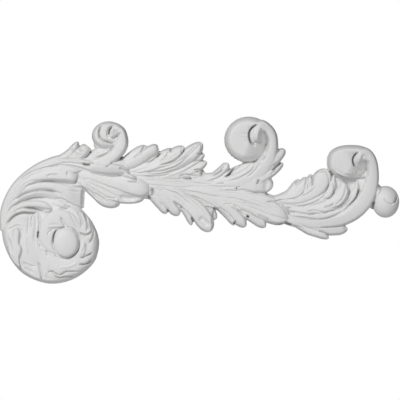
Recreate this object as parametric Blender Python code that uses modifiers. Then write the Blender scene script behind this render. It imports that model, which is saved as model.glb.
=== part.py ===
"""Scroll onlay: a sprig of acanthus leaves with four scrolls, cast in one piece with a flat back.

The front looks along -Y, the back lies in the plane y = 0, and the origin is on the back, behind the
middle of the stem. The shape is drawn on a square grid, u to the right and v up, whose squares are a
share of the length. Heights off the back are shares of the projection.
"""

import math

import bmesh
import bpy
import numpy as np
from mathutils import Matrix

# Driving sizes, in metres
LENGTH = 0.500
PROJECTION = 0.030

# Drawing grid: how many squares the onlay is long, and where its origin lies
SQUARES_LONG = 400.0
SQUARE = LENGTH / SQUARES_LONG
ORIGIN_U = 200.0
ORIGIN_V = 112.0

# Fineness of the surface, as shares of the length
GRAIN = LENGTH / 450
BURIED = 0.01 * LENGTH
FACES_KEPT = 0.030
SOFTENED = 0.4  # squares that the softening takes off an edge

# Stations along a form and points across it, from -1 at one edge to 1 at the other
STATIONS = 28
TURN_STATIONS = 60
ACROSS = np.sin(np.linspace(-math.pi / 2, math.pi / 2, 21))

# How round the edges are, where 1 is a straight bevel and 2 a quarter circle, and how deep the grooves of a
# reeded stem are, as a share of its height
ROUNDNESS = 2.0
REED_DEPTH = 0.12

PRIMER_COLOUR = (0.80, 0.80, 0.79, 1.0)
PRIMER_ROUGHNESS = 0.55


def place(u, v, height):
    """World points of places on the drawing at heights off the back."""
    x = (np.asarray(u) - ORIGIN_U) * SQUARE
    z = (np.asarray(v) - ORIGIN_V) * SQUARE
    return np.column_stack([x, -np.asarray(height) * PROJECTION, z])


def smooth_line(points, shares):
    """Places at the given shares of a smooth line through the points."""
    points = np.array(points, float)
    knots = np.append(0, np.cumsum(np.sqrt(np.linalg.norm(np.diff(points, axis=0), axis=1))))
    spans = np.diff(knots)
    slopes = np.diff(points, axis=0) / spans[:, None]
    tangents = np.empty_like(points)
    before, after = spans[:-1, None], spans[1:, None]
    tangents[1:-1] = (slopes[:-1] * after + slopes[1:] * before) / (before + after)
    tangents[0] = 2 * slopes[0] - tangents[1] if len(points) > 2 else slopes[0]
    tangents[-1] = 2 * slopes[-1] - tangents[-2] if len(points) > 2 else slopes[0]
    fine = np.linspace(0, knots[-1], 400)
    i = np.clip(np.searchsorted(knots, fine, side="right") - 1, 0, len(spans) - 1)
    span = spans[i, None]
    t = (fine - knots[i])[:, None] / span
    line = (
        (2 * t**3 - 3 * t**2 + 1) * points[i]
        + (t**3 - 2 * t**2 + t) * span * tangents[i]
        + (3 * t**2 - 2 * t**3) * points[i + 1]
        + (t**3 - t**2) * span * tangents[i + 1]
    )
    run = np.append(0, np.cumsum(np.linalg.norm(np.diff(line, axis=0), axis=1)))
    wanted = np.asarray(shares) * run[-1]
    return np.column_stack([np.interp(wanted, run, line[:, 0]), np.interp(wanted, run, line[:, 1])])


def eased(values, shares):
    """Values spread evenly along a form, with soft changes between them."""
    values = np.atleast_1d(np.array(values, float))
    if len(values) == 1:
        return np.full(len(shares), values[0])
    x = np.asarray(shares) * (len(values) - 1)
    i = np.clip(x.astype(int), 0, len(values) - 2)
    t = x - i
    t = (t + t * t * (3 - 2 * t)) / 2
    return values[i] + (values[i + 1] - values[i]) * t


def rounded(inwards, rim):
    """Share of the full height at a distance inwards from an edge that rounds over within the rim."""
    open_share = 1 - np.clip(inwards / max(rim, 1e-6), 0, 1)
    return (1 - open_share**ROUNDNESS) ** (1 / ROUNDNESS)


def loft(left, right, heights, rim, crown, tilt, reeds=1):
    """A closed shell between two edges: its face rounds over within the rim, and it ends behind the back."""
    shell = bmesh.new()
    face = 1 - crown * ACROSS**2 + tilt * ACROSS
    if reeds > 1:
        face = face - REED_DEPTH * (1 - np.abs(np.sin(math.pi * reeds * (ACROSS + 1) / 2))) ** 2
    rings = []
    for a, b, height in zip(right, left, heights):
        between = a + np.outer((ACROSS + 1) / 2, b - a)
        half = np.linalg.norm(b - a) / 2
        side = rounded((1 - np.abs(ACROSS)) * half, min(rim, 0.9 * half))
        ring = place(between[:, 0], between[:, 1], height * side * face)
        ring[[0, -1], 1] = BURIED
        rings.append([shell.verts.new(p) for p in ring])
    for ring, following in zip(rings, rings[1:]):
        for j in range(len(ring)):
            k = (j + 1) % len(ring)
            shell.faces.new((ring[j], ring[k], following[k], following[j]))
    shell.faces.new(rings[0][::-1])
    shell.faces.new(rings[-1])
    return shell


def blade(points, widths, heights, rim=2.8, tip=0.8, blunt=2.0, crown=0.12, tilt=0.0, reeds=1):
    """A lobe or stem along a line: half-widths and heights from root to end, closing from the tip on."""
    shares = np.sin(np.linspace(0, math.pi / 2, STATIONS))
    middle = smooth_line(points, shares)
    way = np.gradient(middle, axis=0)
    way /= np.linalg.norm(way, axis=1)[:, None]
    aside = np.column_stack([-way[:, 1], way[:, 0]])
    closing = np.clip((shares - tip) / (1 - tip), 0, 1)
    half = (eased(widths, shares) + SOFTENED) * (1 - 0.999 * closing**blunt) ** (1 / blunt)
    height = eased(heights, shares) * (1 - closing**3 / 4)
    return loft(
        middle + aside * half[:, None],
        middle - aside * half[:, None],
        height,
        rim,
        crown,
        tilt,
        reeds,
    )


def scroll(outer, inner, turn, heights, closing=None, square=2.0, rim=5.0, crown=0.06, tilt=0.0):
    """The turn of a volute between two ovals (u, v, half-width, half-height), through angles in degrees."""
    angle = np.radians(np.linspace(*turn, TURN_STATIONS))
    cos, sin = np.cos(angle), np.sin(angle)
    reach = (np.abs(cos) ** square + np.abs(sin) ** square) ** (-1 / square)
    wide, high = outer[2] + SOFTENED, outer[3] + SOFTENED
    outside = np.column_stack([outer[0] + wide * cos * reach, outer[1] + high * sin * reach])
    inside = np.column_stack([inner[0] + inner[2] * cos, inner[1] + inner[3] * sin])
    if closing is not None:
        t = np.clip((np.degrees(angle) - closing) / (turn[1] - closing), 0, 1)
        t = (0.97 * t * t * (3 - 2 * t))[:, None]
        outside = outside * (1 - t) + inside * t
    height = eased(heights, np.linspace(0, 1, TURN_STATIONS))
    return loft(inside, outside, height, rim, crown, tilt)


def plate(edge, height, rim, lean=(0.0, 0.0)):
    """A flat form inside a closed edge: it rounds over within the rim and falls away towards its lean."""
    middle = (edge.max(axis=0) + edge.min(axis=0)) / 2
    out = edge - middle
    radius = np.linalg.norm(out, axis=1)
    out = out * (1 + SOFTENED / radius)[:, None]
    span = np.abs(out).max(axis=0)
    shell = bmesh.new()
    rings = []
    for share in np.cos(np.linspace(0, 0.99 * math.pi / 2, STATIONS)):
        x, y = (share * out / span).T
        fall = 1 - np.clip(lean[0] * x + lean[1] * y, 0, 1) ** 1.5
        top = height * rounded((1 - share) * radius, rim) * fall
        ring = place(middle[0] + share * out[:, 0], middle[1] + share * out[:, 1], top)
        if share == 1:
            ring[:, 1] = BURIED
        rings.append([shell.verts.new(p) for p in ring])
    for ring, following in zip(rings, rings[1:]):
        for j in range(len(ring)):
            k = (j + 1) % len(ring)
            shell.faces.new((ring[j], ring[k], following[k], following[j]))
    shell.faces.new(rings[0][::-1])
    shell.faces.new(rings[-1])
    return shell


def disc(centre, radii, height, rim, lean=(0.0, 0.0), square=2.0):
    """The flat end of a roll, inside an oval."""
    angle = np.linspace(0, 2 * math.pi, TURN_STATIONS, endpoint=False)
    cos, sin = np.cos(angle), np.sin(angle)
    reach = (np.abs(cos) ** square + np.abs(sin) ** square) ** (-1 / square)
    edge = np.column_stack([centre[0] + radii[0] * cos * reach, centre[1] + radii[1] * sin * reach])
    return plate(edge, height, rim, lean)


def boss(centre, radii, top, depth):
    """A ball or low mound: its half-width and half-height, the height of its top, and its own rise."""
    shell = bmesh.new()
    bmesh.ops.create_uvsphere(shell, u_segments=32, v_segments=16, radius=1)
    wide, high = (radius + SOFTENED for radius in radii)
    bmesh.ops.scale(shell, vec=(wide * SQUARE, high * SQUARE, depth * PROJECTION), verts=shell.verts)
    bmesh.ops.rotate(shell, matrix=Matrix.Rotation(math.pi / 2, 3, "X"), verts=shell.verts)
    bmesh.ops.translate(shell, vec=place([centre[0]], [centre[1]], [top - depth])[0], verts=shell.verts)
    return shell


def ground():
    """Low ground under the leaves and inside the scrolls, which ties them into one casting."""
    return [
        blade([(12, 85), (40, 102), (78, 108)], (6, 12, 14), (0.30, 0.34, 0.34), tip=0.9, blunt=6),
        boss((60, 88), (22, 12), 0.48, 0.36),
        blade([(76, 140), (100, 140), (124, 134)], (9, 6, 5), (0.32, 0.32, 0.32)),
        blade([(92, 146), (102, 148.6), (113, 151)], (4, 4.6, 5), (0.46, 0.50, 0.56)),
        blade([(100, 134), (116, 134.5), (131, 139)], (4, 5.4, 4), (0.58, 0.58, 0.46)),
        blade([(36, 125), (60, 130.5), (82, 129)], (3, 5, 5), (0.56, 0.62, 0.62)),
        boss((110, 162), (14, 12), 0.46, 0.34),
        blade([(115, 130), (150, 131), (196, 133)], (9, 14, 14), (0.28, 0.32, 0.30), blunt=3),
        blade([(192, 119), (214, 121.5), (240, 124)], (7, 6, 8), (0.40, 0.40, 0.42)),
        boss((256, 157), (16, 20), 0.46, 0.36),
        blade(
            [(150, 108), (200, 103), (250, 98), (284, 92)],
            (7, 10, 11, 9),
            (0.44, 0.50, 0.52, 0.52),
            blunt=3,
            crown=0.04,
        ),
        blade([(285, 93), (320, 99), (358, 116)], (8, 17, 15), (0.32, 0.34, 0.34), blunt=4),
        boss((340, 117), (16, 10), 0.36, 0.30),
        boss((362, 116), (10, 14), 0.38, 0.30),
        boss((271, 137), (6, 13), 0.58, 0.50),
        boss((356, 132), (14, 17), 0.50, 0.36),
        blade([(364, 107), (375, 99.4), (388, 97)], (8, 8.8, 6), (0.26, 0.26, 0.26)),
    ]


def sheath():
    """The leaf that folds over the great scroll, with its bands fanning out to the right."""
    return [
        blade(
            [(6.6, 70), (8.2, 92), (19.2, 112.8), (37.8, 129.8), (57.8, 139.4), (74, 145)],
            (6.2, 6.9, 7.2, 7.0, 6.4, 4),
            (0.40, 0.46, 0.54, 0.60, 0.60, 0.56),
            tilt=-0.08,
        ),
        blade(
            [(50, 136.8), (67.8, 143.6), (78.3, 157.6)],
            (5.4, 4.8, 3.6),
            (0.50, 0.58, 0.62),
            tilt=-0.05,
        ),
        blade([(62, 137), (78.4, 144.6), (88, 153)], (6, 6.6, 5.6), (0.56, 0.58, 0.57), blunt=4),
        blade(
            [
                (9, 84), (20, 108), (38, 124.5), (60, 136), (80, 135.6), (98, 131.4), (113, 130.2),
                (128.4, 127.4),
            ],
            (3, 3.6, 4.4, 4.8, 5, 6.2, 7, 5.4, 2.4),
            (0.42, 0.50, 0.58, 0.62, 0.62, 0.63, 0.66, 0.68, 0.64),
            tip=0.94,
            tilt=0.08,
            reeds=2,
        ),
        blade([(88, 136), (100, 138.4), (112, 137.4)], (4, 4.4, 3), (0.58, 0.62, 0.62)),
        blade(
            [(7, 82), (10, 100), (20, 113.5), (38, 123.5), (58, 126), (77.4, 121)],
            (3, 3.6, 4.8, 6.4, 7.4, 5),
            (0.42, 0.50, 0.60, 0.68, 0.72, 0.70),
            blunt=5,
            tip=0.9,
            tilt=-0.08,
        ),
        blade(
            [(7, 80), (12, 97), (20, 106.5), (38, 113.5), (56, 113), (72, 106), (85.2, 102.2)],
            (2.5, 3, 4, 5, 5.5, 9, 11),
            (0.40, 0.46, 0.52, 0.56, 0.58, 0.58, 0.56),
            blunt=8,
            tip=0.93,
            rim=3.5,
        ),
        blade(
            [(7, 77), (14, 93), (26, 102.5), (42, 105.5), (58, 102), (68, 96)],
            (2, 3, 4, 4.5, 5, 5),
            (0.38, 0.42, 0.46, 0.46, 0.46, 0.44),
            tilt=0.30,
        ),
        blade(
            [(7, 80), (18, 92.5), (32, 96), (44, 95), (53.5, 90.5)],
            (2.5, 3.6, 4.2, 4.6, 4),
            (0.42, 0.52, 0.58, 0.62, 0.60),
        ),
        blade([(6, 76), (14, 85), (25, 89), (38.5, 88)], (2, 3, 3, 2.5), (0.44, 0.54, 0.58, 0.58)),
        blade([(52, 98), (62, 95.5), (71, 92.5)], (4, 4, 3), (0.45, 0.52, 0.52)),
    ]


def great_scroll():
    """The large scroll at the lower left: its outer turn, its inner curl and its eye."""
    outline = [
        (52, 108), (30, 104), (12, 92), (3, 76), (2.2, 68), (3.2, 60), (5.6, 52), (10.7, 41.3), (20.2, 29.5),
        (30.2, 22.9), (40, 18.9), (50, 16.8), (60, 17.2), (70, 19.6), (80, 24.6), (90.6, 33.6), (95.7, 40.7),
        (98.4, 49.8), (99.2, 58), (97.3, 67.3), (93.3, 76.2), (88.3, 83.6), (80, 92), (68, 102),
    ]
    edge = smooth_line(outline + outline[:1], np.linspace(0, 1, TURN_STATIONS, endpoint=False))
    return [
        plate(edge, 0.58, 8, lean=(0, 0.55)),
        blade(
            [(90.5, 60), (89, 71), (84.5, 80), (79.5, 88)],
            (3, 4.4, 4.6, 4),
            (0.50, 0.56, 0.56, 0.52),
        ),
        scroll(
            (61, 66.5, 22.5, 25),
            (66.5, 57.5, 12, 14),
            (20, 265),
            (0.56, 0.62, 0.66, 0.67, 0.64, 0.58),
            closing=190,
            rim=3,
        ),
        disc((66.4, 57.6), (12.4, 14.6), 0.84, 4),
        boss((66.4, 57.6), (10, 12), 0.88, 0.14),
    ]


def stem():
    """The reeded stem that runs through the whole sprig."""
    line = [
        (30, 110), (60, 120), (90, 121), (120, 118), (150, 115), (200, 111), (240, 105), (280, 95), (310, 88),
    ]
    heights = (0.40, 0.42, 0.46, 0.48, 0.48, 0.48, 0.46, 0.42, 0.40)
    return [blade(line, (8, 9, 9, 9, 9, 9, 9, 8, 8), heights, reeds=4)]


def first_volute():
    """The small volute at the top left: its roll, and the stem that runs over into a rounded tongue."""
    return [
        disc((108.8, 164.2), (16.8, 14.4), 0.72, 5, lean=(0.5, -0.45)),
        blade(
            [
                (84, 135), (102, 138.5), (115, 146), (121.8, 156), (121.2, 167), (114.5, 172.6),
                (105.5, 170.5), (103.5, 164.5), (108, 160),
            ],
            (4, 6, 7.2, 7.0, 6.9, 5.4, 4.6, 4.2, 2.5),
            (0.48, 0.56, 0.64, 0.70, 0.76, 0.78, 0.72, 0.68, 0.60),
            rim=3,
            tilt=-0.05,
        ),
        blade(
            [(121, 166), (118, 171), (113.5, 170.5), (113.5, 165)],
            (5, 4.5, 4, 4),
            (0.70, 0.78, 0.78, 0.74),
            rim=3,
            blunt=3,
        ),
    ]


def lower_left_leaf():
    """The broad leaf below the first volute."""
    return [
        blade(
            [(70, 128), (98, 122), (125, 116), (147, 110)],
            (5, 8, 9.5, 10),
            (0.45, 0.55, 0.64, 0.70),
            blunt=3,
            rim=3.5,
        ),
        blade(
            [(74, 124), (95, 113), (118, 104.2), (144, 103.5)],
            (4, 7, 7, 6),
            (0.45, 0.50, 0.50, 0.46),
            blunt=3,
            crown=-0.1,
        ),
        blade(
            [(80, 117.8), (94, 106.9), (106, 98.5), (120, 96.5)],
            (2.5, 4.6, 6, 4.6),
            (0.42, 0.45, 0.44, 0.40),
            tilt=0.1,
        ),
        blade([(116, 127), (128, 124), (136.6, 121.6)], (3, 3, 3), (0.62, 0.70, 0.74)),
        blade([(135, 112), (146, 109), (154, 107)], (8, 8, 7), (0.20, 0.20, 0.20), tip=0.9),
    ]


def upper_leaves():
    """The fan of lobes above the stem, between the first two volutes."""
    return [
        blade(
            [(118, 132), (130.5, 143), (140.5, 150.4), (146.8, 153.8)],
            (3, 4.6, 4.6, 3.4),
            (0.42, 0.46, 0.48, 0.46),
            tilt=-0.15,
        ),
        blade(
            [(120, 131), (140, 141), (152, 149), (158.8, 151.7)],
            (4, 7, 6.6, 5.8),
            (0.45, 0.56, 0.62, 0.60),
            blunt=3,
            tip=0.85,
            crown=0.22,
            tilt=0.06,
        ),
        blade([(130, 130), (152, 138.4), (172.2, 151.3)], (4, 5.8, 4), (0.42, 0.48, 0.50), tilt=-0.18),
        blade([(132, 128), (158, 136.8), (184.2, 153.2)], (4, 6.5, 6), (0.42, 0.54, 0.56), tilt=-0.18),
        blade(
            [(130, 126), (160, 131), (185, 141.7), (201.6, 157.4)],
            (4, 6, 8.4, 7.8),
            (0.42, 0.52, 0.60, 0.64),
            tilt=0.0,
            reeds=2,
        ),
        blade([(140, 124), (170, 129), (204.4, 146)], (4, 7, 5), (0.38, 0.44, 0.44), tilt=-0.15),
        blade([(140, 122), (175, 126), (207, 138)], (4, 7, 5.2), (0.36, 0.40, 0.42), tilt=-0.15),
        blade([(150, 121), (180, 124.5), (204.8, 128)], (3, 4.4, 4.8), (0.44, 0.42, 0.36)),
    ]


def lower_leaves():
    """The two fans of lobes that hang below the stem."""
    return [
        blade([(147, 108), (158.5, 98.2), (166.4, 86.2)], (4, 5.2, 3.8), (0.42, 0.44, 0.42), tilt=0.18),
        blade([(150, 110), (166, 98.3), (179, 84.6)], (4, 6, 5.2), (0.45, 0.52, 0.50), tilt=0.18),
        blade([(170, 108), (184.6, 94), (191.4, 74.6)], (4, 3.7, 2.9), (0.42, 0.44, 0.42), tilt=0.18),
        blade(
            [(160, 111), (183, 101), (200, 86.2), (209.4, 68)],
            (4, 8, 9.4, 8.8),
            (0.45, 0.55, 0.62, 0.66),
            crown=-0.05,
            tilt=0.10,
        ),
        blade([(180, 107), (203, 95), (216, 80.6)], (4, 6, 4.5), (0.40, 0.44, 0.42), tilt=0.15),
        blade([(208, 101), (224.4, 88.8), (234.6, 74.7)], (4, 4.4, 3.4), (0.40, 0.42, 0.40), tilt=0.18),
        blade([(205, 103), (226, 92), (245.3, 73)], (4, 7, 5.7), (0.44, 0.52, 0.52), tilt=0.15),
        blade([(227, 101), (248.5, 87.8), (265.4, 72.7)], (4, 5.8, 5), (0.42, 0.44, 0.42), tilt=0.1),
        blade(
            [(215, 106), (245, 98), (270, 89), (288, 83)],
            (4, 9, 12.4, 11.4),
            (0.46, 0.54, 0.62, 0.66),
            blunt=3,
            rim=4,
            tilt=-0.04,
            reeds=3,
        ),
    ]


def second_volute():
    """The tallest volute: its roll, the stem that runs over into a tongue, and the lobes beside it."""
    return [
        blade(
            [(203, 121), (213, 123.4), (219, 129.4), (223, 133.8)],
            (2, 2.5, 3, 2.5),
            (0.38, 0.42, 0.42, 0.40),
            tilt=-0.15,
        ),
        blade([(205, 120), (218, 126.4), (228, 136.9)], (3, 4.5, 4.5), (0.42, 0.48, 0.48), tilt=-0.15),
        blade([(215, 118), (235, 126), (254, 137)], (4, 7, 5), (0.44, 0.50, 0.52), tilt=-0.12),
        disc((248.6, 160.3), (24.3, 23.0), 0.88, 7, lean=(0.95, -0.35)),
        blade(
            [
                (225, 112), (248, 122), (264.4, 135.8), (271.6, 149), (272.4, 157), (271.2, 164),
                (265.6, 170.2), (258.6, 174.4), (255.4, 168.5), (255.6, 160.5), (256, 156.8),
            ],
            (6, 7.5, 9, 9.2, 9.2, 8.6, 6.9, 5.4, 5.8, 6.8, 5.8, 3.8),
            (0.50, 0.53, 0.57, 0.62, 0.68, 0.74, 0.80, 0.88, 0.95, 1.00, 0.99, 0.92),
            rim=5,
            blunt=2.6,
            tip=0.93,
            tilt=0.06,
        ),
        blade([(266, 137.6), (276, 144), (285.2, 151.2)], (4, 4.6, 3.2), (0.56, 0.52, 0.44)),
        blade([(254, 118), (270, 126.8), (283, 137)], (6, 4.8, 3), (0.54, 0.50, 0.42)),
        blade([(236, 114), (257, 116.4), (273, 113.6)], (5, 9.5, 7.6), (0.50, 0.54, 0.42), crown=0.04),
    ]


def right_leaf():
    """The leaf at the right, whose lobes curl up towards the third volute."""
    return [
        blade(
            [(272, 100), (287, 104), (294, 112.4), (298.8, 120.9)],
            (4, 5.5, 4.5, 3.5),
            (0.42, 0.46, 0.46, 0.44),
            tilt=-0.15,
        ),
        blade(
            [(276, 101), (293, 107), (301, 114.6), (305, 123.2)],
            (4, 5, 4.5, 3.5),
            (0.44, 0.48, 0.50, 0.48),
            tilt=-0.15,
        ),
        blade(
            [(278, 101), (296, 106), (306, 114.6), (310.8, 125.8)],
            (4, 5, 4.5, 3.5),
            (0.44, 0.50, 0.52, 0.52),
            tilt=-0.15,
        ),
        blade(
            [(282, 99), (305, 104.5), (318.7, 116), (324.8, 131)],
            (4, 7, 9.4, 9.6),
            (0.46, 0.56, 0.62, 0.64),
            tilt=-0.15,
        ),
        blade(
            [(285, 95), (308, 98), (325, 104), (332.5, 119)],
            (4, 5, 5.5, 4.8),
            (0.44, 0.48, 0.50, 0.50),
            tilt=-0.12,
        ),
        blade(
            [(290, 92), (315, 92), (334, 99), (342, 111), (340, 119)],
            (4, 6, 8, 7.5, 6),
            (0.44, 0.52, 0.60, 0.62, 0.58),
            tilt=-0.15,
        ),
        blade(
            [(295, 87), (325, 86), (343, 96), (354, 108), (356, 120)],
            (3, 4, 5, 5, 4),
            (0.44, 0.46, 0.48, 0.48, 0.46),
            tilt=-0.12,
        ),
        blade([(290, 78.5), (309, 71.4), (328.6, 61.6)], (3, 6.2, 3.4), (0.38, 0.42, 0.40)),
        blade([(295, 80), (322, 72), (347.5, 71)], (4, 7, 5.4), (0.42, 0.46, 0.44), tilt=0.1),
    ]


def third_volute():
    """The volute at the right end: its roll, the stem that runs over into a tongue, and the ball."""
    return [
        disc((350.8, 137.8), (24.1, 17.2), 0.86, 7, lean=(0.95, -0.35), square=2.4),
        blade(
            [
                (285, 82), (315, 79), (348, 86), (364, 99), (371.6, 118), (372.2, 130), (370.4, 140.6),
                (364.2, 146), (358.5, 145.6), (357, 139.5), (357.4, 134.6),
            ],
            (6, 7.5, 9, 9.3, 9.5, 9.5, 9.6, 9.4, 8.6, 6.9, 6.3, 6.0, 6.6, 4.6),
            (0.46, 0.49, 0.52, 0.54, 0.56, 0.58, 0.60, 0.63, 0.68, 0.76, 0.84, 0.92, 0.98, 0.93),
            rim=5,
            blunt=2.6,
            tip=0.94,
            tilt=0.05,
        ),
        boss((377, 108), (5, 8), 0.56, 0.50),
        boss((385.6, 98.4), (13.6, 15.9), 0.64, 0.44),
    ]


def gathered(shells):
    """One mesh of all the shells, which still pass through each other."""
    whole = bmesh.new()
    piece = bpy.data.meshes.new("piece")
    for shell in shells:
        shell.to_mesh(piece)
        shell.free()
        whole.from_mesh(piece)
    bpy.data.meshes.remove(piece)
    mesh = bpy.data.meshes.new("scroll_onlay")
    whole.to_mesh(mesh)
    whole.free()
    return mesh


def back_cutter(collection):
    """A block behind the back plane, which cuts the back flat."""
    bpy.ops.mesh.primitive_cube_add(
        size=1,
        location=(0, LENGTH / 4, 0),
        scale=(2 * LENGTH, LENGTH / 2, 2 * LENGTH),
    )
    cutter = bpy.context.object
    bpy.ops.object.transform_apply(location=True, rotation=False, scale=True)
    cutter.name = "back_cutter"
    cutter.hide_render = True
    cutter.display_type = "WIRE"
    for other in list(cutter.users_collection):
        other.objects.unlink(cutter)
    collection.objects.link(cutter)
    return cutter


def primer():
    """White primer on cast urethane."""
    material = bpy.data.materials.new("primed_urethane")
    material.use_nodes = True
    shader = material.node_tree.nodes["Principled BSDF"]
    shader.inputs["Base Color"].default_value = PRIMER_COLOUR
    shader.inputs["Roughness"].default_value = PRIMER_ROUGHNESS
    shader.inputs["Metallic"].default_value = 0.0
    return material


def clear_scene():
    for old in list(bpy.data.objects):
        bpy.data.objects.remove(old)


def new_collection(name):
    collection = bpy.data.collections.new(name)
    bpy.context.scene.collection.children.link(collection)
    return collection


def cast(mesh, collection, cutter):
    """The onlay: its forms grown together into one skin, softened, thinned out and cut flat behind."""
    onlay = bpy.data.objects.new("scroll_onlay", mesh)
    collection.objects.link(onlay)
    mesh.materials.append(primer())
    skin = onlay.modifiers.new("one_skin", "REMESH")
    skin.mode = "VOXEL"
    skin.voxel_size = GRAIN
    soften = onlay.modifiers.new("soften", "SMOOTH")
    soften.factor = 0.5
    soften.iterations = 2
    thin = onlay.modifiers.new("thin_out", "DECIMATE")
    thin.ratio = FACES_KEPT
    flat = onlay.modifiers.new("flat_back", "BOOLEAN")
    flat.operation = "DIFFERENCE"
    flat.solver = "EXACT"
    flat.object = cutter
    return onlay


def build():
    clear_scene()
    forms = new_collection("scroll_onlay")
    cutters = new_collection("cutters")
    groups = (
        ground, stem, sheath, great_scroll, first_volute, lower_left_leaf,
        upper_leaves, lower_leaves, second_volute, right_leaf, third_volute,
    )
    shells = [shell for group in groups for shell in group()]
    cast(gathered(shells), forms, back_cutter(cutters))


build()
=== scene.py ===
"""Scroll onlay, dressed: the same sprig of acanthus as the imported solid, with its veins, creases and pits
carved into a finer skin, in white primer, on a pale floor under soft studio light.

The front looks along -Y and the back lies in the plane y = 0. The shape is drawn on a square grid, u to the
right and v up, whose squares are a share of the length. Heights and depths are shares of the projection.
"""

import math

import bmesh
import bpy
import numpy as np
from mathutils import Matrix, Vector


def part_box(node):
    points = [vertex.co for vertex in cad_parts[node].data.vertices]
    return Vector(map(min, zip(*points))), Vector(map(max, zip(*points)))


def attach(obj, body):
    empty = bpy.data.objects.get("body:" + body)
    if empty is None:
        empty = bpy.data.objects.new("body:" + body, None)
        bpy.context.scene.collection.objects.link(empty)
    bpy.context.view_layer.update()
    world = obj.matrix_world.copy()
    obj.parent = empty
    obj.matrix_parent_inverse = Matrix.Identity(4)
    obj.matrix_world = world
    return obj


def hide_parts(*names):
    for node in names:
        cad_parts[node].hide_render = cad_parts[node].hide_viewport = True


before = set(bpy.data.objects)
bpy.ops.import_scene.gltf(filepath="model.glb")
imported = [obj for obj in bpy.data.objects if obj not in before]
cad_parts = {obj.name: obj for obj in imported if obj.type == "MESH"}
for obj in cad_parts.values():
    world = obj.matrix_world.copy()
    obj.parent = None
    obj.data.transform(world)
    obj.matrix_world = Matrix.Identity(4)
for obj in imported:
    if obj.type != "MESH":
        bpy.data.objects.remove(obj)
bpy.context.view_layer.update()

# Driving sizes, in metres
LENGTH = 0.500
PROJECTION = 0.030

# Drawing grid: how many squares the onlay is long, and where its origin lies
SQUARES_LONG = 400.0
SQUARE = LENGTH / SQUARES_LONG
ORIGIN_U = 200.0
ORIGIN_V = 112.0

# The skin: its fineness and how far the forms reach behind the back, in metres, how it is softened, how many
# squares that takes off an edge, how many triangles it keeps, the angle in degrees from which an edge stays
# sharp, and how exact the cut at the back is, in metres
GRAIN = 0.00064
BURIED = 0.01 * LENGTH
SOFTEN_SHARE = 0.5
SOFTEN_PASSES = 2
SOFTENED = 0.1
MOST_TRIANGLES = 190000
SHARP_FROM = 60.0
CUT_TOLERANCE = 1e-6

# Stations along a form and round a closed one, points across a form (from -1 at one edge to 1 at the other),
# points that stand for a smooth line, and a ball's segments and rings
STATIONS = 60
TURN_STATIONS = 150
POINTS_ACROSS = 31
ACROSS = np.sin(np.linspace(-math.pi / 2, math.pi / 2, POINTS_ACROSS))
LINE_POINTS = 400
BALL_SEGMENTS = 32
BALL_RINGS = 16

# How round the edges are (1 is a straight bevel, 2 a quarter circle), the largest share of a form's
# half-width that a rounded edge may take, and the share of its height that a groove between reeds takes
ROUNDNESS = 2.0
WIDEST_RIM = 0.9
REED_DEPTH = 0.12

# How far a blade's tip, a scroll's end and a plate's middle close (1 is all the way), the share of its
# height that a blade loses at its tip, and how a leaning plate falls away (1 is straight, more is curved)
TIP_CLOSED = 0.999
CURL_CLOSED = 0.97
PLATE_CLOSED = 0.99
TIP_DROP = 0.25
LEAN_CURVE = 1.5

# Carving: the share of a line's length over which each end runs out, the shares of its depth and width that
# are left there, the height off the back from which the skin is carved, and the height that is always left
RUN_OUT = 0.25
END_DEPTH = 0.15
END_WIDTH = 0.6
CARVED_FROM = 0.1
LEAST_LEFT = 0.06

# White factory primer: its two tones and the clouds between them, its roughness, and its sprayed grain
PRIMER_COLOUR = (0.80, 0.80, 0.797, 1.0)
PRIMER_SHADE = (0.765, 0.765, 0.762, 1.0)
CLOUD_SCALE = 28.0
CLOUD_DETAIL = 4.0
SHADE_BELOW = 0.30
COLOUR_ABOVE = 0.72
PRIMER_ROUGHNESS = 0.55
SMOOTHER_BY = 0.06
ROUGHER_BY = 0.08
SPRAY_SCALE = 900.0
SPRAY_DETAIL = 2.0
SPRAY_STRENGTH = 0.10
SPRAY_DEPTH = 0.0003

# Camera: its view in squares of the drawing, its distance and reach in metres, its sensor in millimetres
VIEW_WIDTH = 400.0
VIEW_U = 200.0
VIEW_V = 100.0
CAMERA_DISTANCE = 3.0
CAMERA_REACH = 20.0
SENSOR = 36.0

# Studio lights: name, place and size in metres, and watts
LIGHTS = (
    ("key", (-1.1, -2.4, 1.5), 0.8, 55.0),
    ("fill", (1.5, -2.0, -0.1), 1.2, 6.6),
    ("rear", (0.0, 2.6, 0.0), 0.5, 22.0),
)

# White surround: how strongly it lights the scene, and how bright the camera sees it
WHITE = (1.0, 1.0, 1.0, 1.0)
SURROUND_LIGHT = 0.18
SURROUND_SEEN = 1.0

# Floor, in metres, and its paint
FLOOR_CENTRE = (0.0, -0.4, -0.30)
FLOOR_SIZE = (3.0, 1.6, 1.0)
FLOOR_COLOUR = (0.85, 0.85, 0.85, 1.0)
FLOOR_ROUGHNESS = 0.9


def place(u, v, height):
    """World points of places on the drawing at heights off the back."""
    x = (np.asarray(u) - ORIGIN_U) * SQUARE
    z = (np.asarray(v) - ORIGIN_V) * SQUARE
    return np.column_stack([x, -np.asarray(height) * PROJECTION, z])


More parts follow.
